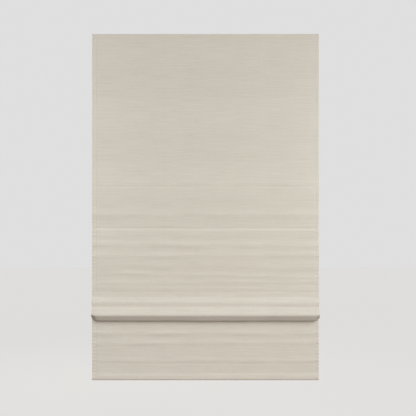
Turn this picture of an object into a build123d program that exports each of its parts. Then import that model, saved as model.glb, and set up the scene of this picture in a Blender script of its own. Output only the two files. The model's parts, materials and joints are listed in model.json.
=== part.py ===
from build123d import *
from math import acos, cos, degrees, pi, sin, sqrt
import os

os.makedirs("parts", exist_ok=True)

# A cordless roman blind, hung inside a window opening and seen from the room.
# X runs to the right, Y towards the window and Z up, all in millimetres. The origin is the
# centre of the screw holes in the tops of the two brackets, on the face that meets the head
# of the opening.

# Cloth
blind_width = 914
cloth_thickness = 1.2
rib_pitch = 259
rib_count = 5
fold_gap = 12
bottom_drop = 346
top_clearance = 1
side_hem_width = 14
side_hem_thickness = 0.7
sleeve_wall = 0.6
billow = 2.5
ripple_height = 1.1
ripples = 5
bottom_ripples = 3
samples_per_ripple = 4
flat_panel_samples = 4
bulge_samples = 10

# Soft roll at the bottom of the gathered fold
roll_radius = 17
crease_radius = 1.2
crease_above_rib = 2.5

# Bottom hem, with the pocket of the weight bar
hem_height = 78
hem_lining = 0.8
hem_round = 2

# Headrail
rail_side_gap = 5
rail_depth = 40
rail_height = 26
rail_wall = 1.2
rail_lip = 6
rail_round = 2

# End caps
cap_thickness = 2.5
cap_plug_depth = 12
cap_plug_wall = 1.8
cap_fit = 0.2

# Brackets
bracket_inset = 62
bracket_width = 36
bracket_gauge = 1.6
bracket_rear_gap = 3.5
bracket_rear_height = 32
bracket_hole_radius = 2.25
bracket_hole_inset = 8
head_hole_spacing = 16
wall_hole_spacing = 12
wall_hole_drop = 16
hook_width = 12
hook_fit = 0.3
hook_foot = 3.6

# Hook and loop tapes
tape_thickness = 1
tape_height = 20
tape_drop = 3
tape_end_gap = 1

# Lift shaft and its spools
shaft_side = 4
shaft_fit = 0.1
shaft_chamfer = 0.3
shaft_offset = -5
shaft_height = 11.8
shaft_overhang = 3
spool_inset = 127
spool_count = 3
spool_barrel_radius = 5.5
spool_barrel_length = 28
spool_flange_radius = 8.5
spool_flange_thickness = 1.2
spool_ramp = 4
journal_radius = 4
journal_length = 3.5
bearing_fit = 0.1
side_play = 0.3

# Spool cradles
cradle_wall = 1.6
cradle_height = 20
cradle_fit = 0.2
cradle_side_height = 7
nozzle_radius = 3
nozzle_bore_radius = 1.5
nozzle_reach = 1.5
nozzle_fit = 0.2

# Spring motor
strip_width = 36
strip_thickness = 0.3
drum_spacing = 15
drum_flange_radius = 7
drum_flange_thickness = 1.2
storage_hub_radius = 3
storage_coil_build = 2.9
output_coil_build = 0.6
storage_journal_radius = 2
motor_wall = 1.2
motor_height = 20.6
motor_depth = 37
cover_thickness = 1.6

# Ribs and their clips
rod_radius = 2
rod_fit = 0.3
rod_side_gap = 3
clip_radius = 3.4
clip_width = 8
clip_gap = 1
clip_grip_fit = 0.05
eye_radius = 3.2
eye_bore_radius = 1.5
eye_thickness = 2.5
neck_width = 2.6

# Weight bar
bar_height = 25
bar_thickness = 5
bar_fit = 0.3
bar_side_gap = 9
bar_cap_thickness = 2
bar_wall = 1.2
bar_plug_depth = 10

# Places along the width
rail_length = blind_width - 2 * rail_side_gap
bracket_reach = rail_length - 2 * bracket_inset
spool_spacing = (blind_width - 2 * spool_inset) / (spool_count - 1)
spool_places = [spool_spacing * (index - (spool_count - 1) / 2) for index in range(spool_count)]
motor_place = spool_places[0] + spool_spacing / 2

# Places along the height
rail_top = -bracket_gauge
rail_bottom = rail_top - rail_height
rail_floor = rail_bottom + rail_wall
cloth_top = -top_clearance
rib_drops = [rib_pitch * (index + 1) for index in range(rib_count - 1)]
rib_drops.append(rib_drops[-1] + fold_gap)
rib_heights = [cloth_top - drop for drop in rib_drops]
gathered_rib = rib_heights[-2]
lowest_rib = rib_heights[-1]
cloth_bottom = lowest_rib - bottom_drop

# Places along the depth
rail_front = -rail_depth / 2
cloth_back = rail_front - 2 * tape_thickness
cloth_middle = cloth_back - cloth_thickness / 2
rod_depth = cloth_back + sleeve_wall / 3 + rod_fit + rod_radius
cord_depth = shaft_offset - spool_barrel_radius
shaft_z = rail_floor + shaft_height

# Middle line of the cloth: the roll, then the crease over the lowest rib
crease_y = cloth_middle - crease_radius
crease_z = lowest_rib + crease_above_rib
back_layer_y = crease_y - crease_radius
roll_y = back_layer_y - roll_radius
roll_front_y = roll_y - roll_radius

# The fold hangs as low as one rib pitch of cloth lets it: a leaning front, a half turn, the
# straight back and the crease. A lean that follows a quarter sine adds its square times
# pi squared / 16 to the height, divided by the height, so the height solves a quadratic.
fold_turns = pi * (roll_radius + crease_radius)
fold_straights = rib_pitch + fold_gap - 2 * crease_above_rib - fold_turns
fold_lean = cloth_middle - roll_front_y
fold_height = (fold_straights + sqrt(fold_straights**2 - (pi * fold_lean) ** 2 / 2)) / 4
roll_z = gathered_rib - fold_height


def hanging_depth(drop):
    """Depth of the hanging cloth's middle line, at a drop below its top edge."""
    panel, share = divmod(drop / rib_pitch, 1)
    wave = sin(2 * pi * ripples * share) if panel == rib_count - 2 else 0
    return cloth_middle - sin(pi * share) ** 2 * (billow + ripple_height * wave)


def bulging_depth(share):
    """Depth of the gathered fold's front layer, at a share of the way down to the roll."""
    bulge = sin(pi * share / 2) * (cloth_middle - roll_front_y)
    wave = sin(pi * share) ** 2 * sin(4 * pi * share)
    return cloth_middle - bulge - ripple_height * wave


def bottom_depth(share):
    """Depth of the bottom panel's middle line, at a share of the way down to its hem."""
    wave = sin(pi * share) ** 2 * sin(2 * pi * bottom_ripples * share)
    return cloth_middle + ripple_height * wave


def cloth_section(plane, front, back):
    """Section of the cloth, from its face at a front offset to its face at a back offset."""
    flat_steps = flat_panel_samples * (rib_count - 2)
    drops = [rib_pitch * index / flat_panel_samples for index in range(flat_steps)]
    steps = ripples * samples_per_ripple
    drops += [rib_pitch * (rib_count - 2 + index / steps) for index in range(steps + 1)]
    hanging = [(hanging_depth(drop), cloth_top - drop) for drop in drops]
    shares = [index / bulge_samples for index in range(bulge_samples + 1)]
    bulging = [(bulging_depth(s), gathered_rib + (roll_z - gathered_rib) * s) for s in shares]
    steps = bottom_ripples * samples_per_ripple
    shares = [index / steps for index in range(steps + 1)]
    hem_top = cloth_bottom + hem_height
    hem_turn = cloth_bottom + 2 * hem_round
    bottom = [(bottom_depth(s), crease_z + (hem_top - crease_z) * s) for s in shares]

    def shifted(points, offset):
        return [(y + offset, z) for y, z in points]

    face_hanging = shifted(hanging, -front)
    face_bulging = shifted(bulging, -front)
    face_bottom = shifted(bottom, -front)
    lining_hanging = shifted(hanging, back)
    lining_bulging = shifted(bulging, back)
    lining_bottom = shifted(bottom, back)
    roll_floor = roll_z - roll_radius
    crease_top = crease_z + crease_radius
    with BuildSketch(plane) as section:
        with BuildLine():
            Spline(*face_hanging)
            Spline(*face_bulging)
            ThreePointArc(
                face_bulging[-1], (roll_y, roll_floor - front), (back_layer_y + front, roll_z)
            )
            Line((back_layer_y + front, roll_z), (back_layer_y + front, crease_z))
            ThreePointArc(
                (back_layer_y + front, crease_z), (crease_y, crease_top - front), face_bottom[0]
            )
            Spline(*face_bottom)
            Line(face_bottom[-1], (cloth_middle - front, hem_turn))
            Line((cloth_middle - front, hem_turn), (cloth_middle + back, hem_turn))
            Line((cloth_middle + back, hem_turn), lining_bottom[-1])
            Spline(*lining_bottom)
            ThreePointArc(
                lining_bottom[0], (crease_y, crease_top + back), (back_layer_y - back, crease_z)
            )
            Line((back_layer_y - back, crease_z), (back_layer_y - back, roll_z))
            ThreePointArc(
                (back_layer_y - back, roll_z), (roll_y, roll_floor + back), lining_bulging[-1]
            )
            Spline(*lining_bulging)
            Spline(*lining_hanging)
            Line(lining_hanging[0], face_hanging[0])
        make_face()
    return section.sketch


def box_between(low, high):
    """Box from its lowest corner to its highest one."""
    centre = tuple((a + b) / 2 for a, b in zip(low, high))
    with Locations(centre):
        Box(*[b - a for a, b in zip(low, high)])


# Shade cloth: one sewn panel, with turned side hems, rib sleeves and a hem pocket
half_cloth = cloth_thickness / 2
sleeve_bore = rod_radius + rod_fit
sleeve_radius = sleeve_bore + sleeve_wall
bar_slot_back = cloth_back + bar_thickness + 2 * bar_fit
bar_slot_floor = cloth_bottom + cloth_thickness
bar_slot_top = bar_slot_floor + bar_height + 2 * bar_fit
hem_back = bar_slot_back + hem_lining
notch = clip_width / 2 + clip_gap
sleeve_end = blind_width / 2 - side_hem_width
sleeve_edges = [-sleeve_end]
for place in spool_places:
    sleeve_edges += [place - notch, place + notch]
sleeve_edges.append(sleeve_end)

with BuildPart() as shade_cloth:
    extrude(cloth_section(Plane.YZ, half_cloth, half_cloth), amount=sleeve_end, both=True)
    # Side hems, turned to the back
    for side in (-1, 1):
        hem_plane = Plane.YZ.offset(side * blind_width / 2)
        extrude(
            cloth_section(hem_plane, half_cloth, half_cloth + side_hem_thickness),
            amount=-side * side_hem_width,
        )
    # Rib sleeves on the back, open where a clip grips the rod
    for start, end in zip(sleeve_edges[::2], sleeve_edges[1::2]):
        with BuildSketch(Plane.YZ.offset(start)):
            for rib_z in rib_heights:
                with Locations((rod_depth, rib_z)):
                    Circle(sleeve_radius)
                with Locations(((rod_depth + cloth_middle) / 2, rib_z)):
                    Rectangle(rod_depth - cloth_middle, 2 * sleeve_radius)
        extrude(amount=end - start)
    with BuildSketch(Plane.YZ):
        for rib_z in rib_heights:
            with Locations((rod_depth, rib_z)):
                Circle(sleeve_bore)
    extrude(amount=blind_width / 2, both=True, mode=Mode.SUBTRACT)
    # Bottom hem, turned up behind and wrapped round the weight bar
    with BuildSketch(Plane.YZ) as hem_outline:
        with BuildLine():
            Polyline(
                (cloth_middle, cloth_bottom + hem_height),
                (cloth_back + cloth_thickness, cloth_bottom + hem_height),
                (cloth_back + cloth_thickness, bar_slot_top + 4 * hem_lining),
                (hem_back, bar_slot_top - hem_round),
                (hem_back, cloth_bottom),
                (cloth_middle - half_cloth, cloth_bottom),
                (cloth_middle - half_cloth, cloth_bottom + 3 * hem_round),
                (cloth_middle, cloth_bottom + hem_height),
            )
        make_face()
        fillet(hem_outline.vertices().group_by(Axis.Y)[0], hem_round)
    extrude(amount=blind_width / 2, both=True)
    with BuildSketch(Plane.YZ):
        with Locations(((cloth_back + bar_slot_back) / 2, (bar_slot_floor + bar_slot_top) / 2)):
            RectangleRounded(bar_slot_back - cloth_back, bar_slot_top - bar_slot_floor, bar_fit)
    extrude(amount=blind_width / 2, both=True, mode=Mode.SUBTRACT)

# Headrail: an open-top channel with lips turned in, pierced for the cord outlets
rail_inner = rail_depth / 2 - rail_wall
lip_edge = rail_depth / 2 - rail_lip
with BuildPart() as headrail:
    with BuildSketch(Plane.YZ) as rail_outline:
        with Locations((0, rail_bottom + rail_height / 2)):
            Rectangle(rail_depth, rail_height)
        fillet(rail_outline.vertices().group_by(Axis.Z)[0], rail_round)
        with Locations((0, rail_bottom + rail_height / 2)):
            Rectangle(2 * rail_inner, rail_height - 2 * rail_wall, mode=Mode.SUBTRACT)
        with Locations((0, rail_top - rail_wall / 2)):
            Rectangle(2 * lip_edge, rail_wall, mode=Mode.SUBTRACT)
    extrude(amount=rail_length / 2, both=True)
    with Locations(*[(place, cord_depth, rail_floor) for place in spool_places]):
        Hole(nozzle_radius + nozzle_fit, depth=2 * rail_wall)

# Hook and loop tapes, which hold the cloth to the front of the rail
tape_half_length = sleeve_end - tape_end_gap
tapes = []
for label, back_face in (("hook_tape", rail_front), ("loop_tape", rail_front - tape_thickness)):
    with BuildPart() as tape:
        box_between(
            (-tape_half_length, back_face - tape_thickness, cloth_top - tape_drop - tape_height),
            (tape_half_length, back_face, cloth_top - tape_drop),
        )
    tape.part.label = label
    tapes.append(tape.part)

# End caps: a plate with the rail's outline and a hollow plug that slides into the rail
plug_half_depth = rail_inner - cap_fit
plug_floor = rail_floor + cap_fit
plug_top = rail_top - rail_wall - cap_fit
end_caps = []
for label, side in (("left_end_cap", -1), ("right_end_cap", 1)):
    rail_end = side * rail_length / 2
    with BuildPart() as end_cap:
        with BuildSketch(Plane.YZ.offset(rail_end)):
            with Locations((0, rail_bottom + rail_height / 2)):
                RectangleRounded(rail_depth, rail_height, rail_round)
        extrude(amount=side * cap_thickness)
        outer_face = end_cap.faces().sort_by(Axis.X)[-1 if side > 0 else 0]
        chamfer(outer_face.edges(), cap_thickness / 4)
        with BuildSketch(Plane.YZ.offset(rail_end)):
            with Locations((0, (plug_floor + plug_top) / 2)):
                Rectangle(2 * plug_half_depth, plug_top - plug_floor)
                Rectangle(
                    2 * (plug_half_depth - cap_plug_wall),
                    plug_top - plug_floor - 2 * cap_plug_wall,
                    mode=Mode.SUBTRACT,
                )
                Rectangle(cap_plug_wall, plug_top - plug_floor)
        extrude(amount=-side * cap_plug_depth)
    end_cap.part.label = label
    end_caps.append(end_cap.part)

# Brackets: a bent plate with two tabs that hook under the rail's lips
bracket_back = rail_depth / 2 + bracket_rear_gap + bracket_gauge
hook_out = lip_edge - hook_fit
hook_in = hook_out - bracket_gauge
hook_floor = rail_top - rail_wall - hook_fit
hole_half_span = bracket_reach / 2 - bracket_hole_inset
brackets = []
for label, side in (("left_bracket", -1), ("right_bracket", 1)):
    inner_x = side * (bracket_reach - bracket_width) / 2
    outer_x = side * (bracket_reach + bracket_width) / 2
    tab_x = side * (bracket_reach / 2 + bracket_hole_inset)
    hole_x = side * hole_half_span
    with BuildPart() as bracket:
        with BuildSketch(Plane.YZ.offset(min(inner_x, outer_x))) as bend:
            with BuildLine():
                Polyline(
                    (rail_front, 0),
                    (bracket_back, 0),
                    (bracket_back, -bracket_rear_height),
                    (bracket_back - bracket_gauge, -bracket_rear_height),
                    (bracket_back - bracket_gauge, -bracket_gauge),
                    (rail_front, -bracket_gauge),
                    (rail_front, 0),
                )
            make_face()
            fillet(bend.vertices().sort_by(Axis((0, 0, 0), (1, 1, 1)))[-1], bracket_gauge)
        extrude(amount=bracket_width)
        # Tabs, each lanced out of the plate and bent down, with the foot under a lip
        for facing in (-1, 1):
            with BuildSketch(Plane.YZ.offset(tab_x - hook_width / 2)):
                with BuildLine():
                    Polyline(
                        (facing * hook_in, -bracket_gauge / 2),
                        (facing * hook_out, -bracket_gauge / 2),
                        (facing * hook_out, hook_floor),
                        (facing * (hook_out + hook_foot), hook_floor),
                        (facing * (hook_out + hook_foot), hook_floor - bracket_gauge),
                        (facing * hook_in, hook_floor - bracket_gauge),
                        (facing * hook_in, -bracket_gauge / 2),
                    )
                make_face()
            extrude(amount=hook_width)
        with Locations((tab_x, 0, -bracket_gauge / 2)):
            with Locations((0, hook_in - hook_foot, 0), (0, hook_foot - hook_in, 0)):
                Box(hook_width, 2 * hook_foot, bracket_gauge, mode=Mode.SUBTRACT)
        # Screw holes for the head of the opening and for the wall behind
        with Locations(Plane.XY):
            with Locations((hole_x, -head_hole_spacing / 2), (hole_x, head_hole_spacing / 2)):
                Hole(bracket_hole_radius, depth=bracket_gauge)
        with Locations(Plane((hole_x, bracket_back, -wall_hole_drop), x_dir=(1, 0, 0), z_dir=(0, 1, 0))):
            with Locations((0, -wall_hole_spacing / 2), (0, wall_hole_spacing / 2)):
                Hole(bracket_hole_radius, depth=bracket_gauge)
    bracket.part.label = label
    brackets.append(bracket.part)

# Lift shaft: one square rod through the motor and all the spools
with BuildPart() as lift_shaft:
    shaft_half = spool_places[-1] + spool_barrel_length / 2 + journal_length + shaft_overhang
    with BuildSketch(Plane.YZ.offset(-shaft_half)) as shaft_profile:
        with Locations((shaft_offset, shaft_z)):
            Rectangle(shaft_side, shaft_side)
        chamfer(shaft_profile.vertices(), shaft_chamfer)
    extrude(amount=2 * shaft_half)
lift_shaft.part.label = "lift_shaft"

# Cord spools: a barrel with a ramp that lays the turns side by side
spools = []
half_barrel = spool_barrel_length / 2
for index, place in enumerate(spool_places):
    with BuildPart() as spool:
        with BuildSketch(Plane.XZ):
            with BuildLine():
                Polyline(
                    (-half_barrel - journal_length, 0),
                    (-half_barrel - journal_length, journal_radius),
                    (-half_barrel, journal_radius),
                    (-half_barrel, spool_flange_radius),
                    (-half_barrel + spool_flange_thickness, spool_flange_radius),
                    (-half_barrel + spool_flange_thickness, spool_barrel_radius + 1),
                    (-half_barrel + spool_flange_thickness + spool_ramp, spool_barrel_radius),
                    (half_barrel - spool_flange_thickness, spool_barrel_radius),
                    (half_barrel - spool_flange_thickness, spool_flange_radius),
                    (half_barrel, spool_flange_radius),
                    (half_barrel, journal_radius),
                    (half_barrel + journal_length, journal_radius),
                    (half_barrel + journal_length, 0),
                    (-half_barrel - journal_length, 0),
                )
            make_face()
        revolve(axis=Axis.X)
        with BuildSketch(Plane.YZ):
            Rectangle(shaft_side + 2 * shaft_fit, shaft_side + 2 * shaft_fit)
        extrude(amount=half_barrel + journal_length, both=True, mode=Mode.SUBTRACT)
    spool_part = Pos(place, shaft_offset, shaft_z) * spool.part
    spool_part.label = f"cord_spool_{index + 1}"
    spools.append(spool_part)

# Spool cradles: a tray with two bearing walls and the nozzle that the cord leaves by
cradle_half_depth = rail_inner - cradle_fit
wall_inner = half_barrel + side_play
wall_outer = wall_inner + cradle_wall
cradle_top = rail_floor + cradle_height
cradles = []
for index, place in enumerate(spool_places):
    with BuildPart() as cradle:
        box_between(
            (place - wall_outer, -cradle_half_depth, rail_floor),
            (place + wall_outer, cradle_half_depth, rail_floor + cradle_wall),
        )
        for face_y in (-cradle_half_depth, cradle_half_depth - cradle_wall):
            box_between(
                (place - wall_outer, face_y, rail_floor),
                (place + wall_outer, face_y + cradle_wall, rail_floor + cradle_side_height),
            )
        for wall_x in (place - wall_outer, place + wall_inner):
            with BuildSketch(Plane.YZ.offset(wall_x)) as bearing_wall:
                with BuildLine():
                    Polyline(
                        (-cradle_half_depth, rail_floor),
                        (-cradle_half_depth, rail_floor + cradle_side_height),
                        (shaft_offset - spool_flange_radius, cradle_top),
                        (shaft_offset + spool_flange_radius, cradle_top),
                        (cradle_half_depth, rail_floor + cradle_side_height),
                        (cradle_half_depth, rail_floor),
                        (-cradle_half_depth, rail_floor),
                    )
                make_face()
                with Locations((shaft_offset, shaft_z)):
                    Circle(journal_radius + bearing_fit, mode=Mode.SUBTRACT)
            extrude(amount=cradle_wall)
        with BuildSketch(Plane.XY.offset(rail_floor)):
            with Locations((place, cord_depth)):
                Circle(nozzle_radius)
        extrude(amount=-rail_wall - nozzle_reach)
        with Locations((place, cord_depth, rail_floor)):
            Hole(nozzle_bore_radius, depth=2 * (rail_wall + nozzle_reach))
    cradle.part.label = f"spool_cradle_{index + 1}"
    cradles.append(cradle.part)

# Spring motor: a steel strip that winds from a storage drum to an output drum on the shaft
storage_y = shaft_offset + drum_spacing
half_strip = strip_width / 2 + side_play
drum_half = half_strip + drum_flange_thickness
drum_profiles = (
    ("output_drum", shaft_offset, journal_radius, journal_radius),
    ("storage_drum", storage_y, storage_hub_radius, storage_journal_radius),
)
motor_inner_half = drum_half + side_play
drum_journal_end = motor_inner_half + motor_wall
drums = []
for label, drum_y, hub_radius, pin_radius in drum_profiles:
    with BuildPart() as drum:
        with BuildSketch(Plane.XZ):
            with BuildLine():
                Polyline(
                    (-drum_journal_end, 0),
                    (-drum_journal_end, pin_radius),
                    (-drum_half, pin_radius),
                    (-drum_half, drum_flange_radius),
                    (-half_strip, drum_flange_radius),
                    (-half_strip, hub_radius),
                    (half_strip, hub_radius),
                    (half_strip, drum_flange_radius),
                    (drum_half, drum_flange_radius),
                    (drum_half, pin_radius),
                    (drum_journal_end, pin_radius),
                    (drum_journal_end, 0),
                    (-drum_journal_end, 0),
                )
            make_face()
        revolve(axis=Axis.X)
        if label == "output_drum":
            with BuildSketch(Plane.YZ):
                Rectangle(shaft_side + 2 * shaft_fit, shaft_side + 2 * shaft_fit)
            extrude(amount=drum_journal_end, both=True, mode=Mode.SUBTRACT)
    drum_part = Pos(motor_place, drum_y, shaft_z) * drum.part
    drum_part.label = label
    drums.append(drum_part)

storage_coil_inner = storage_hub_radius + side_play
storage_coil_outer = storage_coil_inner + storage_coil_build
output_coil_inner = journal_radius + side_play
output_coil_outer = output_coil_inner + output_coil_build
storage_tangent = storage_coil_outer - strip_thickness / 2
output_tangent = output_coil_outer - strip_thickness / 2
tangent_sum = storage_tangent + output_tangent
tangent_angle = acos(tangent_sum / drum_spacing)
bridge_length = sqrt(drum_spacing**2 - tangent_sum**2)
storage_touch = (
    storage_y - storage_tangent * cos(tangent_angle),
    shaft_z + storage_tangent * sin(tangent_angle),
)
output_touch = (
    shaft_offset + output_tangent * cos(tangent_angle),
    shaft_z - output_tangent * sin(tangent_angle),
)
with BuildPart() as spring_strip:
    with BuildSketch(Plane.YZ.offset(motor_place)):
        with Locations((storage_y, shaft_z)):
            Circle(storage_coil_outer)
            Circle(storage_coil_inner, mode=Mode.SUBTRACT)
        with Locations((shaft_offset, shaft_z)):
            Circle(output_coil_outer)
            Circle(output_coil_inner, mode=Mode.SUBTRACT)
        bridge_middle = tuple((a + b) / 2 for a, b in zip(storage_touch, output_touch))
        with Locations(bridge_middle):
            Rectangle(bridge_length, strip_thickness, rotation=90 - degrees(tangent_angle))
    extrude(amount=strip_width / 2, both=True)
spring_strip.part.label = "spring_strip"

# Motor housing: a tray that the drums drop into, closed by an end cover
motor_left = motor_place - motor_inner_half - motor_wall
motor_right = motor_place + motor_inner_half
motor_top = rail_floor + motor_height
journal_bores = (
    (shaft_offset, journal_radius + bearing_fit),
    (storage_y, storage_journal_radius + bearing_fit),
)
with BuildPart() as motor_housing:
    box_between(
        (motor_left, -motor_depth / 2, rail_floor), (motor_right, motor_depth / 2, motor_top)
    )
    fillet(motor_housing.edges().filter_by(Axis.X), motor_wall / 2)
    offset(
        amount=-motor_wall,
        openings=motor_housing.faces().sort_by(Axis.X)[-1],
        kind=Kind.INTERSECTION,
    )
    with BuildSketch(Plane.YZ.offset(motor_left)):
        for bore_y, bore_radius in journal_bores:
            with Locations((bore_y, shaft_z)):
                Circle(bore_radius)
    extrude(amount=2 * motor_wall, mode=Mode.SUBTRACT)
motor_housing.part.label = "motor_housing"

with BuildPart() as motor_cover:
    with BuildSketch(Plane.YZ.offset(motor_right)):
        with Locations((0, (rail_floor + motor_top) / 2)):
            RectangleRounded(motor_depth, motor_height, motor_wall / 2)
        for bore_y, bore_radius in journal_bores:
            with Locations((bore_y, shaft_z)):
                Circle(bore_radius, mode=Mode.SUBTRACT)
    extrude(amount=cover_thickness)
    chamfer(motor_cover.faces().sort_by(Axis.X)[-1].outer_wire().edges(), motor_wall / 3)
motor_cover.part.label = "motor_cover"

# Ribs: round rods in the sleeves of the cloth, each with three clips that carry a cord eye
rod_half_length = sleeve_end - rod_side_gap
ribs = []
clip_sets = []
for index, rib_z in enumerate(reversed(rib_heights)):
    with BuildPart() as rib:
        with BuildSketch(Plane.YZ.offset(-rod_half_length)):
            with Locations((rod_depth, rib_z)):
                Circle(rod_radius)
        extrude(amount=2 * rod_half_length)
        chamfer(rib.edges().filter_by(GeomType.CIRCLE), rod_radius / 4)
    rib.part.label = f"rib_{index + 1}"
    ribs.append(rib.part)

    with BuildPart() as clips:
        for place in spool_places:
            with BuildSketch(Plane.YZ.offset(place - clip_width / 2)):
                with Locations((rod_depth, rib_z)):
                    Circle(clip_radius)
                    Circle(rod_radius + clip_grip_fit, mode=Mode.SUBTRACT)
                with Locations((cloth_back + rod_fit - clip_radius, rib_z)):
                    Rectangle(2 * clip_radius, 2 * clip_radius, mode=Mode.SUBTRACT)
            extrude(amount=clip_width)
            with BuildSketch(Plane.XY.offset(rib_z - eye_thickness / 2)):
                with Locations((place, cord_depth)):
                    Circle(eye_radius)
                neck_start = rod_depth + (rod_radius + clip_radius) / 2
                with Locations((place, (neck_start + cord_depth) / 2)):
                    Rectangle(neck_width, cord_depth - neck_start)
                with Locations((place, cord_depth)):
                    Circle(eye_bore_radius, mode=Mode.SUBTRACT)
            extrude(amount=eye_thickness)
    clips.part.label = f"rib_clips_{index + 1}"
    clip_sets.append(clips.part)

# Weight bar in the bottom hem: a flat tube with a moulded cap in each end
bar_middle_y = cloth_back + bar_fit + bar_thickness / 2
bar_middle_z = bar_slot_floor + bar_fit + bar_height / 2
bar_half_length = blind_width / 2 - bar_side_gap
bar_round = bar_thickness / 3
with BuildPart() as bottom_bar:
    with BuildSketch(Plane.YZ.offset(-bar_half_length)):
        with Locations((bar_middle_y, bar_middle_z)):
            RectangleRounded(bar_thickness, bar_height, bar_round)
            Rectangle(
                bar_thickness - 2 * bar_wall, bar_height - 2 * bar_wall, mode=Mode.SUBTRACT
            )
    extrude(amount=2 * bar_half_length)
bottom_bar.part.label = "bottom_bar"

bar_caps = []
for label, side in (("left_bar_cap", -1), ("right_bar_cap", 1)):
    with BuildPart() as bar_cap:
        with BuildSketch(Plane.YZ.offset(side * bar_half_length)):
            with Locations((bar_middle_y, bar_middle_z)):
                RectangleRounded(bar_thickness, bar_height, bar_round)
        extrude(amount=side * bar_cap_thickness)
        outer_face = bar_cap.faces().sort_by(Axis.X)[-1 if side > 0 else 0]
        chamfer(outer_face.edges(), bar_cap_thickness / 4)
        with BuildSketch(Plane.YZ.offset(side * bar_half_length)):
            with Locations((bar_middle_y, bar_middle_z)):
                Rectangle(
                    bar_thickness - 2 * bar_wall - cap_fit,
                    bar_height - 2 * bar_wall - cap_fit,
                )
        extrude(amount=-side * bar_plug_depth)
    bar_cap.part.label = label
    bar_caps.append(bar_cap.part)

shade_cloth.part.label = "shade_cloth"
headrail.part.label = "headrail"
pieces = [shade_cloth.part, headrail.part, lift_shaft.part, spring_strip.part]
pieces += [motor_housing.part, motor_cover.part, bottom_bar.part]
pieces += tapes + end_caps + brackets + spools + cradles + drums + ribs + clip_sets + bar_caps
for piece in pieces:
    export_step(piece, f"parts/{piece.label}.step")
    print(piece.label, len(piece.solids()), round(piece.volume, 1))

# Length of cloth taken up between the last two ribs, beside the rib pitch it should equal
front_points = [
    (bulging_depth(index / 200), gathered_rib + (roll_z - gathered_rib) * index / 200)
    for index in range(201)
]
front_length = sum(
    sqrt((b[0] - a[0]) ** 2 + (b[1] - a[1]) ** 2) for a, b in zip(front_points, front_points[1:])
)
fold_length = (
    front_length + pi * roll_radius + (crease_z - roll_z) + pi * crease_radius + crease_above_rib
)
print("cloth in the fold", round(fold_length, 1), "rib pitch", rib_pitch)
print("finished drop", rib_count * rib_pitch + bottom_drop)
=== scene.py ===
# %% [markdown]
# # A roman blind, dressed around its solid model
# The solid model already holds the rail, brackets, ribs, spools and the weight bar at their real
# places. This lesson gives them their finishes and makes the cloth that hangs in front of them.
# Everything is in metres: X to the right, Y to the back, Z up, with the screws in the tops of the
# brackets at height 0.

# %% Load the solid model
import json
from math import cos, pi, radians, sin, tan

import bpy
import numpy as np
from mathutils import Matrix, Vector


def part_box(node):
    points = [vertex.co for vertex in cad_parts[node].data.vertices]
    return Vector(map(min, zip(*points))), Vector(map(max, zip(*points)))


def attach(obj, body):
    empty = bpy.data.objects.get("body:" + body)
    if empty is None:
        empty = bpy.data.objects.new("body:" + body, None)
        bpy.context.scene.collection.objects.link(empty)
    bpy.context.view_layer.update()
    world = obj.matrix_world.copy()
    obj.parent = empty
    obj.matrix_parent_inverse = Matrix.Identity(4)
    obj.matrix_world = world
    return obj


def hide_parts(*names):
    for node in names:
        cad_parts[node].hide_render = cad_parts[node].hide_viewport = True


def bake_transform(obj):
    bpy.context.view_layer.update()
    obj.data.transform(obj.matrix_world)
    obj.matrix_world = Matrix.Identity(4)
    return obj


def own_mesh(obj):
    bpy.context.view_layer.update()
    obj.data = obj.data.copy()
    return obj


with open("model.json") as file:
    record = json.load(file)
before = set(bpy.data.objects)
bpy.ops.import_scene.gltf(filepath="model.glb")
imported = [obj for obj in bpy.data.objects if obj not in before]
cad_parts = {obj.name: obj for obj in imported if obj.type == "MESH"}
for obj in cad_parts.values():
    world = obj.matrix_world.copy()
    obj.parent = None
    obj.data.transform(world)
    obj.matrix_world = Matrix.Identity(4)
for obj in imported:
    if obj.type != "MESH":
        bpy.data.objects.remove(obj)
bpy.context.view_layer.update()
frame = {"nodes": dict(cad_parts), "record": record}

# %% [markdown]
# ## Sizes that the cloth shares with the hardware
# A sewn blind follows its hardware: the cloth creases where a rib holds it and turns up round the
# weight bar. The sizes could be typed in again, but reading them from the solids keeps the cloth
# on its ribs if the model is ever made wider or longer.

# %% Read the sizes
cloth_low, cloth_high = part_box("shade_cloth")
tape_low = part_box("loop_tape")[0]
bar_low, bar_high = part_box("bottom_bar")
half_width = cloth_high.x
cloth_top = cloth_high.z
cloth_bottom = cloth_low.z
rib_names = [f"rib_{number}" for number in (5, 4, 3, 2, 1)]
rib_heights = []
for name in rib_names:
    rib_low, rib_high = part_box(name)
    rib_heights.append((rib_low.z + rib_high.z) / 2)
rod_depth = (rib_low.y + rib_high.y) / 2
rod_radius = (rib_high.z - rib_low.z) / 2
clip_low, clip_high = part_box("rib_clips_5")
clip_width = 0.008
clip_places = [clip_low.x + clip_width / 2, 0.0, clip_high.x - clip_width / 2]
cloth_thickness = 0.0008
tape_gap = 0.0001
cloth_y = tape_low.y - tape_gap - cloth_thickness / 2
print("cloth", round(2 * half_width, 3), "m wide,", round(cloth_top - cloth_bottom, 3), "m hung")
print("ribs at", [round(z, 3) for z in rib_heights])

# %% [markdown]
# ## Camera
# The picture is a straight front view from a little over three metres, with the lens level with
# the middle of the blind. The camera looks along +Y and isn't tilted, so upright edges stay
# upright. The lens could be matched by eye, but it is worked out from one measured scale, how many
# millimetres of cloth a pixel covers, and then every edge falls where it should.

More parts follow.
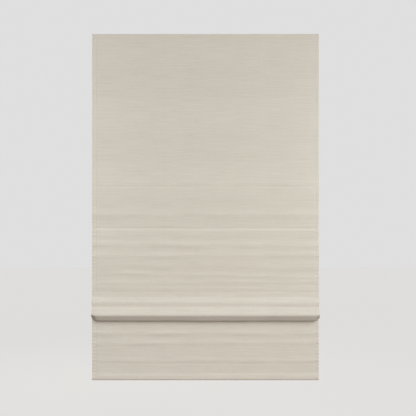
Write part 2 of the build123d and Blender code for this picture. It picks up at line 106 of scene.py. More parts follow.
# %% Place the camera
image_pixels = 416
metres_per_pixel = 0.004035
camera_distance = 3.2
cloth_middle_pixel = 205.4
cloth_top_pixel = 34.0
sensor_width = 36
image_middle = image_pixels / 2
camera_data = bpy.data.cameras.new("front_camera")
camera = bpy.data.objects.new("front_camera", camera_data)
bpy.context.scene.collection.objects.link(camera)
camera.location = (
    (image_middle - cloth_middle_pixel) * metres_per_pixel,
    cloth_y - camera_distance,
    cloth_top - (image_middle - cloth_top_pixel) * metres_per_pixel,
)
camera.rotation_euler = (pi / 2, 0, 0)
camera_data.sensor_width = sensor_width
camera_data.lens = sensor_width * camera_distance / (image_pixels * metres_per_pixel)
camera_data.clip_start = 0.05
camera_data.clip_end = 50
bpy.context.scene.camera = camera
print("lens", round(camera_data.lens, 1), "mm")

# %% [markdown]
# ## Writing a finish as sums
# A finish mixes patterns: streaks, threads, a little wear. Each pattern is a socket of a shader
# node. Wrapping a socket in a small class lets the mix be written as a sum, and the class then
# adds the Math nodes, which is easier to read than a list of links. The sky is made of nodes as
# well, so the part that adds and feeds nodes is shared by both.


# %% A socket that does arithmetic
class Pattern:
    """A number that varies, as the output of a node in a tree."""

    def __init__(self, tree, socket):
        self.tree = tree
        self.socket = socket

    def _sum(self, operation, first, second):
        node = self.tree.add("ShaderNodeMath", {"operation": operation}, {0: first, 1: second})
        return Pattern(self.tree, node.outputs[0])

    def __add__(self, other):
        return self._sum("ADD", self, other)

    def __sub__(self, other):
        return self._sum("SUBTRACT", self, other)

    def __mul__(self, other):
        return self._sum("MULTIPLY", self, other)

    def __rsub__(self, other):
        return self._sum("SUBTRACT", other, self)

    __radd__ = __add__
    __rmul__ = __mul__


print("patterns can be added, subtracted and multiplied")


# %% A tree of nodes
class NodeTree:
    """The nodes of a material or of the sky."""

    def __init__(self, owner):
        owner.use_nodes = True
        self.nodes = owner.node_tree.nodes
        self.links = owner.node_tree.links

    def add(self, kind, settings, values):
        """A node of this kind, with its settings made first and then its inputs."""
        node = self.nodes.new(kind)
        for key, value in settings.items():
            setattr(node, key, value)
        for key, value in values.items():
            self.feed(node.inputs[key], value)
        return node

    def feed(self, socket, value):
        """Gives a socket a number, a colour or the output of another node."""
        if isinstance(value, Pattern):
            value = value.socket
        if isinstance(value, bpy.types.NodeSocket):
            self.links.new(value, socket)
        else:
            socket.default_value = value


print("nodes come from one method, add")


# %% A finish
class Finish(NodeTree):
    """One material, made of nodes."""

    def __init__(self, name, roughness=0.5, **constants):
        self.material = bpy.data.materials.new(name)
        super().__init__(self.material)
        self.surface = self.nodes["Principled BSDF"]
        self.surface.inputs["Roughness"].default_value = roughness
        for socket, value in constants.items():
            self.surface.inputs[socket.replace("_", " ")].default_value = value

    def place(self, scale, uv=None):
        """A coordinate on the surface, in metres times a scale along each way."""
        if uv:
            start = self.add("ShaderNodeUVMap", {"uv_map": uv}, {}).outputs["UV"]
        else:
            start = self.add("ShaderNodeTexCoord", {}, {}).outputs["Object"]
        mapping = self.add("ShaderNodeMapping", {}, {"Vector": start, "Scale": scale})
        return mapping.outputs["Vector"]

    def noise(self, scale, detail=2.0, uv=None):
        """Soft noise between 0 and 1, with so many spots to a metre along each way."""
        values = {"Vector": self.place(scale, uv), "Scale": 1.0, "Detail": detail}
        return Pattern(self, self.add("ShaderNodeTexNoise", {}, values).outputs[0])

    def threads(self, per_metre, direction, uv):
        """Parallel threads, as a wave between 0 and 1."""
        scale = (per_metre / 2 / pi,) * 3
        settings = {"wave_type": "BANDS", "bands_direction": direction}
        values = {
            "Vector": self.place(scale, uv),
            "Scale": 1.0,
            "Distortion": 0.6,
            "Detail": 1.0,
            "Detail Scale": 0.3,
        }
        return Pattern(self, self.add("ShaderNodeTexWave", settings, values).outputs["Fac"])

    def colours(self, factor, low, high):
        """Mixes two colours by a pattern."""
        settings = {"data_type": "RGBA"}
        values = {0: factor, 6: (*low, 1), 7: (*high, 1)}
        mix = self.add("ShaderNodeMix", settings, values)
        self.feed(self.surface.inputs["Base Color"], mix.outputs[2])

    def rough(self, pattern):
        """Lets the roughness follow a pattern."""
        self.feed(self.surface.inputs["Roughness"], pattern)

    def relief(self, height, depth, strength=1.0):
        """Bumps of this depth in metres, where the height is 1."""
        values = {"Height": height, "Distance": depth, "Strength": strength}
        bump = self.add("ShaderNodeBump", {}, values)
        self.feed(self.surface.inputs["Normal"], bump.outputs["Normal"])


print("a finish has colours, roughness and relief")

# %% [markdown]
# ## Linen-look cloth
# The face is a slubby plain weave in pale oatmeal. Slubs are thick stretches of yarn, so they show
# as short streaks along the weft, which runs across the blind, and fainter ones down the warp.
# A woven picture could be laid over the cloth, but streaks of noise never repeat, and they follow
# the cloth because they are read from its own measured surface map, in metres.

# %% The cloth's finish
WEFT_THREADS = 1500
WARP_THREADS = 1700
WEAVE_RELIEF = 0.00035
LINEN_DARK = (0.448, 0.420, 0.371)
LINEN_LIGHT = (0.762, 0.729, 0.668)


def linen(name, dark, light):
    """Plain-woven cloth with slubs, on the surface map called woven."""
    finish = Finish(name, roughness=0.9, Specular_IOR_Level=0.2, Sheen_Weight=0.12)
    broad_streaks = finish.noise((9, 230, 1), 3.0, "woven")
    weft_slubs = finish.noise((45, 1100, 1), 2.0, "woven")
    warp_slubs = finish.noise((1000, 18, 1), 2.0, "woven")
    cloudy = finish.noise((6, 6, 1), 2.0, "woven")
    weft = finish.threads(WEFT_THREADS, "Y", "woven")
    warp = finish.threads(WARP_THREADS, "X", "woven")
    weave = weft * 0.5 + warp * 0.5
    tone = broad_streaks * 0.42 + weft_slubs * 0.3 + warp_slubs * 0.14 + cloudy * 0.1
    finish.colours(tone + weave * 0.08, dark, light)
    finish.rough(0.97 - weave * 0.1)
    finish.relief(weft_slubs * 0.5 + warp_slubs * 0.2 + weave * 0.3, WEAVE_RELIEF, 0.6)
    return finish.material


face_cloth = linen("oatmeal_linen", LINEN_DARK, LINEN_LIGHT)
print("cloth finish", len(face_cloth.node_tree.nodes), "nodes")

# %% [markdown]
# ## How the cloth hangs
# A flat roman blind isn't quite flat. It dips at every row of stitching and keeps soft ridges
# where it was folded. Below the middle the ridges come every four or five centimetres, left over
# from the last time the blind was raised. A simulation would give ridges somewhere, but these have
# known places, so the cloth is moved by a sum of soft ridges, each with its own drop below the
# top. A ridge swells and fades along its length, since no fold is pressed evenly.

# %% Ridges and creases
# Each ridge: drop below the cloth's top, height, half-length up and down, slope across the width
RIDGES = (
    (0.600, 0.0004, 0.009, 0.000),
    (0.729, 0.0014, 0.014, 0.001),
    (0.795, 0.0008, 0.006, 0.000),
    (0.808, 0.0018, 0.017, -0.002),
    (0.850, 0.0022, 0.014, 0.003),
    (0.893, 0.0016, 0.012, -0.004),
    (0.937, 0.0011, 0.015, 0.006),
    (0.972, 0.0013, 0.009, 0.010),
    (1.003, 0.0014, 0.010, -0.003),
    (1.027, 0.0015, 0.013, 0.002),
    (1.085, 0.0020, 0.010, 0.002),
    (1.207, 0.0015, 0.010, 0.000),
    (1.246, 0.0013, 0.010, -0.002),
    (1.317, 0.0010, 0.009, 0.001),
)
# Each crease: drop, depth, half-length
CREASES = (
    (0.0215, 0.0005, 0.0022),
    (0.616, 0.0008, 0.0030),
    (0.784, 0.0012, 0.0036),
    (1.330, 0.0004, 0.0030),
)
print(len(RIDGES), "ridges and", len(CREASES), "creases")

# %% Slow wavering
rng = np.random.default_rng(7)
WANDERS = rng.uniform((2, 1, 0), (9, 5, 2 * pi), (7, 3))
FINE_WANDERS = rng.uniform((2, 60, 0), (12, 130, 2 * pi), (8, 3))


def bell(distance, half_length):
    """1 at distance 0, falling away softly."""
    return np.exp(-((distance / half_length) ** 2))


def wander(x, drop, waves):
    """A slow, even wavering between about -1 and 1."""
    total = 0
    for across, down, start in waves:
        total = total + np.sin(across * x * 2 + down * drop + start)
    return total / len(waves)


print("wavering at the middle of the cloth", round(wander(0, 0.65, WANDERS), 3))

# %% Forward stand of the hanging cloth
SLOW_WAVER = 0.0009
FINE_WAVER = 0.00022
CALM_ABOVE = 0.70
CALM_FADE = 0.2
CALM_SHARE = 0.25
RIDGE_WAVER = 0.003
RIDGE_SWELL = 1.3
SIDE_HEM = 0.014
SIDE_HEM_DIP = 0.0007
DIP_WIDTH = 0.0024
STITCH_PITCH = 0.014
STITCH_PUCKER = 0.0005
STITCH_INSET = 0.005
PUCKER_WIDTH = 0.008


def hang(x, drop):
    """How far the cloth stands forward of its flat plane, at a drop below its top."""
    waver = wander(x, drop, WANDERS)
    forward = SLOW_WAVER * waver
    liveliness = np.clip((drop - CALM_ABOVE) / CALM_FADE, CALM_SHARE, 1)
    forward = forward + FINE_WAVER * liveliness * wander(x, drop, FINE_WANDERS)
    for ridge_drop, height, half_length, slope in RIDGES:
        centre = ridge_drop + slope * x / half_width + RIDGE_WAVER * waver
        swell = 1 + RIDGE_SWELL * wander(1.7 * x, drop + 7 * ridge_drop, WANDERS)
        forward = forward + height * swell * bell(drop - centre, half_length)
    for crease_drop, depth, half_length in CREASES:
        forward = forward - depth * bell(drop - crease_drop, half_length)
    edge = half_width - np.abs(x)
    pull = np.cos(2 * pi * drop / STITCH_PITCH) * bell(edge - STITCH_INSET, PUCKER_WIDTH)
    forward = forward + STITCH_PUCKER * (0.3 + liveliness) * pull
    forward = forward - SIDE_HEM_DIP * bell(edge - SIDE_HEM, DIP_WIDTH)
    return forward


middle_drops = np.linspace(0, cloth_top - cloth_bottom, 400)
middle_stand = 1000 * hang(0, middle_drops)
stand_range = [round(float(stand), 1) for stand in (middle_stand.min(), middle_stand.max())]
print("the cloth's middle stands", stand_range, "mm forward of flat")

# %% [markdown]
# ## Sewing a sheet from its side view
# Every stretch of this cloth has the same front view, a rectangle, and its character is all in
# the side view. So a sheet is made from a path, the side view of its middle, swept across the
# width. Each point of the sheet is pushed along the path's own normal by the hanging above, and a
# second skin behind it closes the sheet into a real thin solid. The turned side hems are simply
# where the cloth is thicker at the back. A grid with modifiers could be bent as well, but a path
# also tells how much cloth a piece takes.

# %% Columns across the width
MIDDLE_STEP = 0.0055
HEM_COLUMNS = 16
HEM_BAND = 1.6 * SIDE_HEM


def columns(start, end):
    """Places across the width: close together in the side hems and even between them."""
    places = np.linspace(start, end, int((end - start) / MIDDLE_STEP) + 1)
    for side in (-1, 1):
        inner = half_width - HEM_BAND
        if side * (end if side > 0 else start) > inner:
            places = places[side * places < inner]
            fine = np.linspace(inner, half_width, HEM_COLUMNS)
            places = np.concatenate([places, side * fine])
    return np.unique(np.round(places, 6))


all_across = columns(-half_width, half_width)
print(len(all_across), "columns across the cloth")


# %% Paths in the side view
def evenly(points, step=0.003):
    """The same path with its points a step apart."""
    points = np.array(points, float)
    lengths = np.concatenate([[0], np.cumsum(np.linalg.norm(np.diff(points, axis=0), axis=1))])
    count = max(2, int(round(lengths[-1] / step)) + 1)
    along = np.linspace(0, lengths[-1], count)
    return np.stack([np.interp(along, lengths, points[:, axis]) for axis in (0, 1)], 1)


def path_length(path):
    """Length of a path in the side view."""
    return float(np.linalg.norm(np.diff(path, axis=0), axis=1).sum())


def arc(centre, radius, start, end, count=24):
    """Points of a round turn in the side view, by angles from +Y towards +Z, in degrees."""
    angles = np.radians(np.linspace(start, end, count))
    return [(centre[0] + radius * cos(a), centre[1] + radius * sin(a)) for a in angles]


def path_normals(path):
    """Unit normals on the face side of a path that runs down the blind."""
    along = np.gradient(path, axis=0)
    along /= np.linalg.norm(along, axis=1)[:, None]
    return np.stack([along[:, 1], -along[:, 0]], 1)


print("a half turn of 10 mm takes", round(path_length(arc((0, 0), 0.010, 0, 180)), 4), "m of cloth")

# %% Sweep a path into a sheet
HEM_LINING = 0.0006
SHARP_ANGLE = 50


def closed_faces(wide, long):
    """Faces of two skins, each a grid of points, and of the rim that joins them."""
    count = wide * long
    corner = np.arange(count).reshape(wide, long)
    quads = np.stack([corner[:-1, :-1], corner[:-1, 1:], corner[1:, 1:], corner[1:, :-1]], -1)
    face = quads.reshape(-1, 4)
    back = face[:, ::-1] + count
    rim = np.concatenate([corner[0, ::-1], corner[1:, 0], corner[-1, 1:], corner[-2:0:-1, -1]])
    following = np.roll(rim, -1)
    side = np.stack([rim, following, following + count, rim + count], -1)
    return np.concatenate([face, back, side])


def sheet(name, path, across, forward, hems=True, thickness=cloth_thickness):
    """A closed thin sheet. The path is (y, z) points, and forward gives each point's push."""
    normals = path_normals(path)
    steps = np.concatenate([[0], np.cumsum(np.linalg.norm(np.diff(path, axis=0), axis=1))])
    x, row = np.meshgrid(across, np.arange(len(path)), indexing="ij")
    push = forward(x, path[row, 1], steps[row])
    edge = half_width - np.abs(x)
    lining = np.where(edge < SIDE_HEM, HEM_LINING, 0.0) if hems else 0.0 * x
    skins = []
    for offset in (thickness / 2, -(thickness / 2 + lining)):
        moved = push + offset
        y = path[row, 0] + normals[row, 0] * moved
        z = path[row, 1] + normals[row, 1] * moved
        skins.append(np.stack([x, y, z], -1).reshape(-1, 3))
    mesh = bpy.data.meshes.new(name)
    mesh.from_pydata(np.concatenate(skins).tolist(), [], closed_faces(*x.shape).tolist())
    woven = mesh.uv_layers.new(name="woven")
    surface = np.stack([x, -steps[row]], -1).reshape(-1, 2)
    corners = np.zeros(len(mesh.loops), np.int32)
    mesh.loops.foreach_get("vertex_index", corners)
    woven.data.foreach_set("uv", surface[corners % len(surface)].astype(np.float32).ravel())
    mesh.polygons.foreach_set("use_smooth", [True] * len(mesh.polygons))
    mesh.set_sharp_from_angle(angle=radians(SHARP_ANGLE))
    mesh.materials.append(face_cloth)
    mesh.update()
    piece = bpy.data.objects.new(name, mesh)
    bpy.context.scene.collection.objects.link(piece)
    print(name, len(mesh.polygons), "faces,", round(steps[-1], 3), "m of cloth")
    return piece


# %% [markdown]
# ## The four hanging panels
# Between two ribs the cloth is one flat panel. When the lower rib is raised, the panel folds in
# half: its upper half hangs still and its lower half turns up behind. One long sheet would look
# the same at rest, but each panel is its own sheet, from one rib to the next. Its
# upper half stands forward by about three millimetres and its lower half by less, which leaves
# room for the lower half to come up behind the upper one and for the next panel behind both.

# %% Room for folding
# Each step back: how much of the stand it takes away, and the shares of the way down it runs over
FOLD_ROOM = 0.0032
STEPS_BACK = ((0.55, 0.5, 0.74), (0.45, 0.8, 1))


def ease(value, start, end):
    """0 before the start and 1 after the end, with a soft turn at both."""
    share = np.clip((value - start) / (end - start), 0, 1)
    return share * share * (3 - 2 * share)


def in_steps(share, steps):
    """A soft stair, from each step's height and the shares where it starts and ends."""
    return sum(height * ease(share, start, end) for height, start, end in steps)


def fold_room(share):
    """A panel's forward stand, at a share of the way down it."""
    rise = np.sin(pi * np.clip(share, 0, 0.5)) ** 2
    return FOLD_ROOM * (rise - in_steps(share, STEPS_BACK))


print("a panel's middle stands forward by", round(1000 * float(fold_room(0.5)), 2), "mm")

# %% Hang the panels
panel_bodies = ("headrail", "rib_5", "rib_4", "rib_3", "rib_2")
panel_edges = [cloth_top] + rib_heights[:4]
panels = []
for number in range(4):
    upper_z, lower_z = panel_edges[number], panel_edges[number + 1]

    def panel_push(x, z, along, upper_z=upper_z, lower_z=lower_z):
        share = (upper_z - z) / (upper_z - lower_z)
        return hang(x, cloth_top - z) + fold_room(share)

    path = evenly([(cloth_y, upper_z), (cloth_y, lower_z)])
    panel = sheet(f"panel_{4 - number}", path, all_across, panel_push)
    middle_z = (upper_z + lower_z) / 2
    panel_bodies[number + 1]
    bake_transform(panel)
    panels.append(panel)

# %% [markdown]
# ## The gathered fold
# The lowest fold is up: rib 2 has come down to just above rib 1, and the cloth between them
# hangs forward in a soft roll. Its front leans out from rib 2 in two soft steps and turns under,
# the underside runs almost straight to the back, and a second turn leads up to the crease over
# rib 1. The roll rises at its two ends, where nothing inside holds it open, and its underside
# wavers. A cloth simulation could find such a roll, but its place and depth are known here.

# %% Sizes of the fold
ROLL_DROP = 1.1560
FRONT_CLEARANCE = 0.0005
UNDER_TILT = 37
CREASE_RISE = 0.0025
crease_radius = 0.0012
crease_z = rib_heights[4] + CREASE_RISE
back_layer_y = cloth_y - 2 * crease_radius
roll_radius = (back_layer_y - cloth_low.y - cloth_thickness / 2 - FRONT_CLEARANCE) / 2
roll_front_y = back_layer_y - 2 * roll_radius
roll_bottom = cloth_top - ROLL_DROP + cloth_thickness / 2
gathered_z = rib_heights[3]
print("the roll is", round(1000 * (cloth_y - roll_front_y), 1), "mm deep")

# %% Turns under the fold
# The underside runs straight from the front turn to the back one, tilted from upright
front_turn = 0.012
back_turn = 0.011
tilt = radians(UNDER_TILT)
across_turns = (front_turn * (1 - cos(tilt)), back_turn * (1 + cos(tilt)))
under_depth = back_layer_y - roll_front_y - sum(across_turns)
under_height = under_depth / tan(tilt)
back_centre = (back_layer_y - back_turn, roll_bottom + back_turn)
front_centre_z = back_centre[1] - back_turn * sin(tilt) + under_height + front_turn * sin(tilt)
front_centre = (roll_front_y + front_turn, front_centre_z)
print("front of the fold from", round(gathered_z, 4), "to", round(front_centre_z, 4))

# %% Side view of the fold's front
# Each lean: how much of the way out it goes, and the shares of the way down it runs over
LEANS = ((0.42, 0.20, 0.50), (0.58, 0.66, 1))
front_path = []
for share in np.linspace(0, 1, 60):
    lean = in_steps(share, LEANS) * (cloth_y - roll_front_y)
    front_path.append((cloth_y - lean, gathered_z + (front_centre_z - gathered_z) * share))
front_path += arc(front_centre, front_turn, 180, 180 + UNDER_TILT, 12)[1:]
front_path += arc(back_centre, back_turn, 180 + UNDER_TILT, 360, 24)
front_path = evenly(front_path, step=0.0022)
front_steps = np.linalg.norm(np.diff(front_path, axis=0), axis=1)
front_length = front_steps.sum()
roll_start = front_length - path_length(front_path[front_path[:, 1] < front_centre_z])
roll_middle = front_steps[: np.argmin(front_path[:, 1])].sum()
print("the roll starts", round(roll_start, 3), "m down the front of the fold")

# %% Waver of the roll
# Each wave across the width: size, speed and start
ROLL_WAVES = ((1, 7, 1.1), (0.6, 17, 0.4), (0.4, 31, 2.0))
ROLL_WAVER = 0.0005
ROLL_REACH = 0.030
END_RISE = 0.008
END_WIDTH = 0.011
LEFT_RISE = 0.006
LEFT_WIDTH = 0.014


def roll_waver(x):
    """How far the roll's underside stands from its mean, across the width."""
    ends = bell(half_width - np.abs(x), END_WIDTH)
    left = bell(x + half_width, LEFT_WIDTH)
    slow = sum(size * np.sin(speed * x + start) for size, speed, start in ROLL_WAVES)
    return ROLL_WAVER * slow - END_RISE * ends - LEFT_RISE * left


end_rise = -1000 * roll_waver(np.array([-half_width, half_width]))
print("the roll's ends rise by", end_rise.round(1), "mm")

# %% Sew the front of the fold
FADE_LENGTH = 0.03


def front_push(x, z, along):
    """Forward stand of the fold's front, where the hanging fades out above the roll."""
    ridges = hang(x, cloth_top - z) * np.clip((roll_start - along) / FADE_LENGTH, 0, 1)
    return ridges + roll_waver(x) * bell(along - roll_middle, ROLL_REACH)


fold_front = sheet("fold_front", front_path, all_across, front_push)
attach(fold_front, "rib_2")
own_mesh(fold_front)

# %% Sew the back of the fold
back_path = [(back_layer_y, back_centre[1]), (back_layer_y, crease_z)]
back_path += arc((cloth_y - crease_radius, crease_z), crease_radius, 180, 0, 12)[1:]
back_path = evenly(back_path, step=0.0016)


def back_push(x, z, along):
    """Starts level with the end of the fold's front, and is flat further up."""
    start = roll_waver(x) * bell(front_length - roll_middle, ROLL_REACH)
    return start * np.clip(1 - along / FADE_LENGTH, 0, 1)


fold_back = sheet("fold_back", back_path, all_across, back_push)
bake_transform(fold_back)

# %% [markdown]
# ## The bottom panel and its hem
# Below rib 1 the cloth hangs straight down. It is turned up at the bottom in a deep hem, round
# the flat weight bar and back up to a row of stitches. The hem could be a second piece, but one
# path draws all of it, so the cloth really does pass under the bar. A soft ridge marks the bar's
# top edge. Behind the gathered fold the panel is slightly hollow, which leaves room for the panel
# above when rib 2 is raised.

# %% Side view of the hem
HEM_HEIGHT = 0.078
HEM_SAG = 0.0022
BAR_CLEARANCE = 0.0008
TUCK_GAP = 0.0003
hem_turn_radius = (bar_high.y - bar_low.y) / 2 + BAR_CLEARANCE
bar_centre_y = (bar_low.y + bar_high.y) / 2
hem_turn = (bar_centre_y, cloth_bottom - HEM_SAG + hem_turn_radius + cloth_thickness / 2)
hem_back_y = bar_centre_y + hem_turn_radius
stitch_z = cloth_bottom + HEM_HEIGHT
tucked_y = cloth_y + cloth_thickness + TUCK_GAP
bottom_path = [(cloth_y, crease_z), (cloth_y, hem_turn[1])]
bottom_path += arc((cloth_y + hem_turn_radius, hem_turn[1]), hem_turn_radius, 180, 360, 20)[1:]
bottom_path += [(hem_back_y, bar_high.z), (hem_back_y - 0.001, bar_high.z + 0.003)]
bottom_path += [(tucked_y, bar_high.z + 0.014), (tucked_y, stitch_z)]
bottom_path = evenly(bottom_path, step=0.0022)
hem_turn_length = crease_z - hem_turn[1]
print("the hem is turned up by", round(1000 * (stitch_z - cloth_bottom), 1), "mm")

# %% Hang the bottom panel
# The hollow deepens over its first two distances down the panel, and ends over the other two
FACE_PAST_TURN = 0.006
FACE_FADE = 0.005
TOP_FADE = 0.02
BAR_RIDGE = 0.0027
BAR_RIDGE_DROP = 0.0065
HOLLOW_DEPTH = 0.003
HOLLOW_DEEPENS = (0.012, 0.032)
HOLLOW_ENDS = (0.118, 0.080)


def bottom_push(x, z, along):
    """Forward stand of the panel's face: the hanging, the bar's ridge and the hollow."""
    front = np.clip((hem_turn_length + FACE_PAST_TURN - along) / FACE_FADE, 0, 1)
    bar_ridge = BAR_RIDGE / (1 + np.exp((z - bar_high.z + BAR_RIDGE_DROP) / BAR_RIDGE))
    fade_in = np.clip(along / TOP_FADE, 0, 1)
    hollow = HOLLOW_DEPTH * ease(along, *HOLLOW_DEEPENS) * ease(along, *HOLLOW_ENDS)
    return front * fade_in * (hang(x, cloth_top - z) + bar_ridge) - hollow


bottom_panel = sheet("bottom_panel", bottom_path, all_across, bottom_push)
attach(bottom_panel, "hem")

# %% [markdown]
# ## Rib sleeves
# Each rod lies in a sleeve of the same cloth, sewn across the back. The sleeve stops beside every
# clip, so that the clip can grip the bare rod. One side view, a half round with two flat margins,
# does for all of them, and each stretch between two clips is its own sheet. A bevelled curve could
# make the round part, but a sheet keeps the flat margins that the stitches go through.

# %% Stretches between the clips
CLIP_CLEARANCE = 0.001
sleeve_gap = clip_width / 2 + CLIP_CLEARANCE
sleeve_edges = [-half_width + SIDE_HEM]
for place in clip_places:
    sleeve_edges += [place - sleeve_gap, place + sleeve_gap]
sleeve_edges.append(half_width - SIDE_HEM)
sleeve_spans = list(zip(sleeve_edges[::2], sleeve_edges[1::2]))
print("sleeves on each rib", [round(end - start, 3) for start, end in sleeve_spans], "m long")

# %% Sew the sleeves
SLEEVE_THICKNESS = 0.0005
SLEEVE_COLUMNS = 40
ROD_EASE = 0.0006
SEWN_DEPTH = 0.0004
sleeve_radius = rod_radius + ROD_EASE
margin = 0.003
sewn_y = tape_low.y + SEWN_DEPTH
rib_bodies = {name: "hem" if name == "rib_1" else name for name in rib_names}


def follow_cloth(x, z, along):
    """Keeps a sleeve's sewn margins against the cloth, and its round part on the rod."""
    weight = np.clip(1 - np.minimum(along, around_length - along) / (3 * margin), 0, 1)
    return -weight * hang(x, cloth_top - z)


def no_push(x, z, along):
    """Leaves the last rib's sleeve as it is, since the cloth by the crease is flat."""
    return 0 * x


for name, rib_z in zip(rib_names, rib_heights):
    around = [(sewn_y, rib_z - sleeve_radius - margin), (sewn_y, rib_z - sleeve_radius)]
    around += arc((rod_depth, rib_z), sleeve_radius, -90, 90, 16)
    around += [(sewn_y, rib_z + sleeve_radius), (sewn_y, rib_z + sleeve_radius + margin)]
    around = evenly(around, step=0.0008)
    around_length = path_length(around)
    push = no_push if name == "rib_1" else follow_cloth
    for number, (start, end) in enumerate(sleeve_spans, 1):
        across = np.linspace(start, end, SLEEVE_COLUMNS)
        sleeve_name = f"{name}_sleeve_{number}"
        sleeve = sheet(sleeve_name, around, across, push, hems=False, thickness=SLEEVE_THICKNESS)
        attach(sleeve, rib_bodies[name])
        end - start

# %% [markdown]
# Each panel and both layers of the fold stand for a stretch of the one sewn cloth in the solid
# model, which is hidden. The panels and both layers of the fold are listed with the length of
# their side views. The panels hang free, and the sleeves are stretched over their rods.

cloth_pieces = [(panel, panel_edges[i] - panel_edges[i + 1]) for i, panel in enumerate(panels)]
cloth_pieces.append((fold_front, path_length(front_path)))
cloth_pieces.append((fold_back, path_length(back_path)))
cloth_pieces.append((bottom_panel, path_length(bottom_path)))
for piece, length in cloth_pieces:
    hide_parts("shade_cloth")

# %% [markdown]
# ## Finishes of the hardware
# The hardware is seen from behind and above. The rail and brackets are white enamel over metal, the
# caps, cradles, spools and clips are moulded plastic, and the shaft, spring and weight bar are
# bare metal. Each finish has its own slight unevenness, since no real coat is perfectly even.
# Every node could have a finish of its own, but one function for each kind of coat is enough, and
# the colours are given when it is used.


# %% Enamel and moulded plastic
def enamel(name, colour):
    """Baked white enamel, with a faint orange-peel skin."""
    finish = Finish(name, Coat_Weight=0.15, Coat_Roughness=0.2)
    peel = finish.noise((420, 420, 420), 2.0)
    smudges = finish.noise((14, 14, 14), 3.0)
    finish.colours(smudges * 0.5 + 0.2, [0.93 * c for c in colour], colour)
    finish.rough(smudges * 0.14 + 0.30)
    finish.relief(peel, 0.00006, 0.35)
    return finish.material


def moulded(name, colour, roughness):
    """Moulded plastic, with a fine spark-eroded grain."""
    finish = Finish(name, IOR=1.5)
    grain = finish.noise((2600, 2600, 2600), 2.0)
    flow = finish.noise((30, 30, 30), 2.0)
    finish.colours(flow * 0.7 + 0.1, [0.9 * c for c in colour], colour)
    finish.rough(flow * 0.12 + roughness)
    finish.relief(grain, 0.00004, 0.5)
    return finish.material


print("two coats for rails and mouldings")


# %% Bare metal and tape
def bare_metal(name, colour, roughness, along):
    """Drawn or rolled metal, with fine lines along its length."""
    finish = Finish(name, Metallic=1.0)
    lines = finish.noise(along, 3.0)
    finish.colours(lines, [0.8 * c for c in colour], colour)
    finish.rough(lines * 0.22 + roughness)
    finish.relief(lines, 0.00003, 0.4)
    return finish.material


def looped_tape(name, colour):
    """Woven tape covered in hooks or loops."""
    finish = Finish(name, Sheen_Weight=0.3)
    loops = finish.noise((1500, 1500, 1500), 1.0)
    finish.colours(loops, [0.75 * c for c in colour], colour)
    finish.rough(loops * 0.2 + 0.75)
    finish.relief(loops, 0.0005, 0.9)
    return finish.material


print("two coats for metal and tape")

# %% Give every node its finish
finishes = {
    "tape": looped_tape("white_tape", (0.80, 0.79, 0.75)),
    "rail": enamel("rail_enamel", (0.80, 0.79, 0.765)),
    "steel": enamel("bracket_enamel", (0.76, 0.76, 0.745)),
    "shaft": bare_metal("drawn_steel", (0.62, 0.62, 0.63), 0.30, (3, 900, 900)),
    "spring": bare_metal("spring_steel", (0.40, 0.41, 0.44), 0.18, (900, 40, 40)),
    "cap": moulded("white_cap", (0.80, 0.79, 0.755), 0.42),
    "nylon": moulded("natural_nylon", (0.72, 0.72, 0.69), 0.38),
    "cradle": moulded("grey_moulding", (0.66, 0.66, 0.645), 0.45),
    "rod": moulded("glass_fibre_rod", (0.72, 0.70, 0.62), 0.40),
    "clip": moulded("clear_white_clip", (0.76, 0.77, 0.76), 0.25),
    "bar": bare_metal("rolled_bar", (0.66, 0.66, 0.67), 0.34, (4, 700, 700)),
}
slot_of = {part["node"]: part["material_slot"] for part in frame["record"]["subparts"]}
finished = [node for node in frame["nodes"] if slot_of[node] in finishes]
for node in finished:
    materials = frame["nodes"][node].data.materials
    materials.clear()
    materials.append(finishes[slot_of[node]])
print(len(finishes), "hardware finishes on", len(finished), "nodes")

# %% [markdown]
# ## Studio
# A floor lies well below the blind, and a sky is all round. Both look pale to the camera and in
# reflections, by the Light Path node, and are otherwise dim and warm, so that the shading of the
# cloth comes from the lamps. A backdrop could stand behind the blind, but its back is worth a look
# too, so there is none.

# %% Floor
FLOOR_DROP = 0.45
FLOOR_SIZE = 24
FLOOR_COLOUR = (0.19, 0.15, 0.10)
FLOOR_GLOW = 0.7


def seen_directly(tree):
    """1 where the camera, a reflection or a clear piece looks straight at something."""
    path = tree.add("ShaderNodeLightPath", {}, {})
    seen = Pattern(tree, path.outputs["Is Camera Ray"])
    mirrored = Pattern(tree, path.outputs["Is Glossy Ray"])
    return seen + mirrored + Pattern(tree, path.outputs["Is Transmission Ray"])


def studio_paint(name, colour):
    """Paint that the camera and reflections see as pale, with some shadow left on it."""
    finish = Finish(name, roughness=0.9, Specular_IOR_Level=0.1)
    finish.surface.inputs["Base Color"].default_value = (*colour, 1)
    glow = finish.add("ShaderNodeEmission", {}, {"Color": (1, 1, 1, 1), "Strength": 1.0})
    mix = finish.add("ShaderNodeMixShader", {}, {0: seen_directly(finish) * FLOOR_GLOW})
    finish.links.new(finish.surface.outputs[0], mix.inputs[1])
    finish.links.new(glow.outputs[0], mix.inputs[2])
    finish.links.new(mix.outputs[0], finish.nodes["Material Output"].inputs["Surface"])
    return finish.material


floor_z = cloth_bottom - FLOOR_DROP
bpy.ops.mesh.primitive_plane_add(size=FLOOR_SIZE, location=(0, 0, floor_z))
studio_floor = bpy.context.object
studio_floor.name = "studio_floor"
studio_floor.data.materials.append(studio_paint("floor_paint", FLOOR_COLOUR))
print("floor at", round(floor_z, 3), "m")

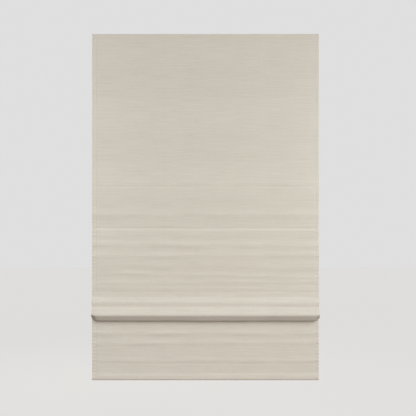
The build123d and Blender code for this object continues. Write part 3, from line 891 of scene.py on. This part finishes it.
# %% Sky
SKY_STRENGTH = 0.07
SKY_COLOUR = (1, 0.84, 0.60, 1)
SHOWN_SKY_STRENGTH = 0.74
world = bpy.data.worlds.new("pale_sky")
bpy.context.scene.world = world
sky = NodeTree(world)
dim_sky = sky.nodes["Background"]
dim_sky.inputs["Color"].default_value = SKY_COLOUR
dim_sky.inputs["Strength"].default_value = SKY_STRENGTH
shown_values = {"Color": (1, 1, 1, 1), "Strength": SHOWN_SKY_STRENGTH}
shown_sky = sky.add("ShaderNodeBackground", {}, shown_values)
sky_mix = sky.add("ShaderNodeMixShader", {}, {0: seen_directly(sky)})
sky.links.new(dim_sky.outputs[0], sky_mix.inputs[1])
sky.links.new(shown_sky.outputs[0], sky_mix.inputs[2])
sky.links.new(sky_mix.outputs[0], sky.nodes["World Output"].inputs["Surface"])
bpy.context.scene.view_settings.view_transform = "Standard"
print("sky", SKY_STRENGTH, "strong, and shown at", SHOWN_SKY_STRENGTH)

# %% [markdown]
# ## Light
# The ridges are only a millimetre or two high, so they show under light that comes down across
# the cloth. A broad sun from above and to the right draws them and leaves the roll's underside in
# shade. A soft warm lamp in front fills the middle, two upright strips lift the sides a little,
# and a lamp behind shows the ribs and sleeves. A bright sky alone would be simpler, but it would
# flatten the ridges.

# %% Sun
SUN_STRENGTH = 2.26
SUN_SPREAD = 48


def aimed(data, location, aim):
    """Puts a lamp somewhere and turns it towards a place."""
    light = bpy.data.objects.new(data.name, data)
    bpy.context.scene.collection.objects.link(light)
    light.location = location
    direction = Vector(aim) - Vector(location)
    light.rotation_euler = direction.to_track_quat("-Z", "Y").to_euler()
    return light


sun = bpy.data.lights.new("high_sun", "SUN")
sun.energy = SUN_STRENGTH
sun.angle = radians(SUN_SPREAD)
aimed(sun, (0.9, -2.4, 0.85), (0, 0, -0.7))
print("sun", SUN_STRENGTH, "strong")

# %% Lamps
FRONT_WATTS = 13
SIDE_WATTS = {"left_lamp": 0.9, "right_lamp": 1.05}
BACK_WATTS = 80


def area_lamp(name, size, watts, colour, location, aim):
    """A soft rectangular lamp, aimed at a place."""
    data = bpy.data.lights.new(name, "AREA")
    data.shape = "RECTANGLE"
    data.size, data.size_y = size
    data.energy = watts
    data.color = colour
    return aimed(data, location, aim)


warm = (1.0, 0.95, 0.87)
cool = (0.88, 1.0, 1.0)
white = (1.0, 1.0, 1.0)
area_lamp("front_lamp", (1.5, 0.9), FRONT_WATTS, warm, (0.3, -2.1, -0.85), (0.05, 0, -0.85))
hidden_lamps = []
for name, side in (("left_lamp", -1), ("right_lamp", 1)):
    place = (side * 0.85, -0.40, -0.50)
    aim = (side * 0.38, 0, -0.50)
    hidden_lamps.append(area_lamp(name, (0.15, 1.0), SIDE_WATTS[name], cool, place, aim))
place = (-0.8, 2.6, 0.6)
hidden_lamps.append(area_lamp("back_lamp", (1.6, 1.6), BACK_WATTS, white, place, (0, 0, -0.7)))
for lamp in hidden_lamps:
    lamp.visible_camera = False
print(len(hidden_lamps) + 1, "lamps besides the sun")
